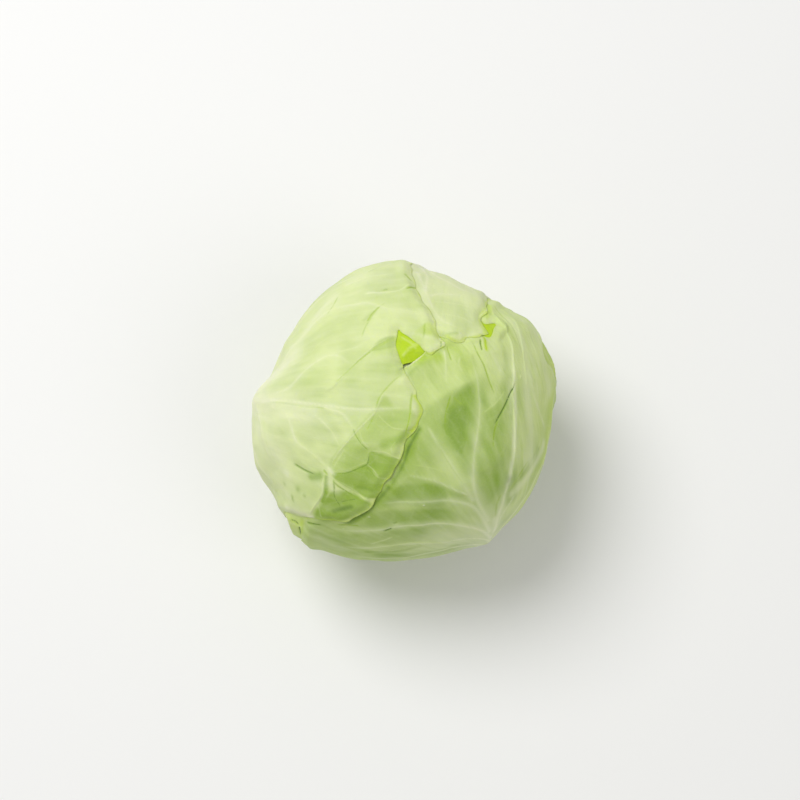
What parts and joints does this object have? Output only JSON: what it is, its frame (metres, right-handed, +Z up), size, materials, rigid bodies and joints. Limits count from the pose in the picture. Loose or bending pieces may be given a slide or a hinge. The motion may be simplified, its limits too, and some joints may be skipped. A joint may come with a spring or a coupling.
{
  "type": "white cabbage",
  "caption": "Trimmed head of white cabbage with wrapped outer leaves, standing on its cut stem.",
  "frame": {"origin": "centre of the stem's cut face, which the head stands on", "axes": "+Z up through the crown, +X to the right and +Y to the back as the head is seen from its front"},
  "size_m": [0.1631, 0.1622, 0.1369],
  "materials": {
    "stem": "freshly cut, fibrous, a little dried",
    "heart": "waxy leaf, tightly wrapped",
    "inner_leaf": "waxy leaf, satin",
    "outer_leaf": "waxy leaf with a faint bloom, satin",
    "outer_leaf_pale": "waxy leaf with a faint bloom, satin"
  },
  "bodies": {
    "root": {"cut_stem": "stem", "heart": "heart", "inner_leaf_front": "inner_leaf", "inner_leaf_right": "inner_leaf", "inner_leaf_crown": "inner_leaf", "outer_leaf_right": "outer_leaf", "outer_leaf_back": "outer_leaf_pale", "outer_leaf_left": "outer_leaf_pale"}
  },
  "joints": []
}
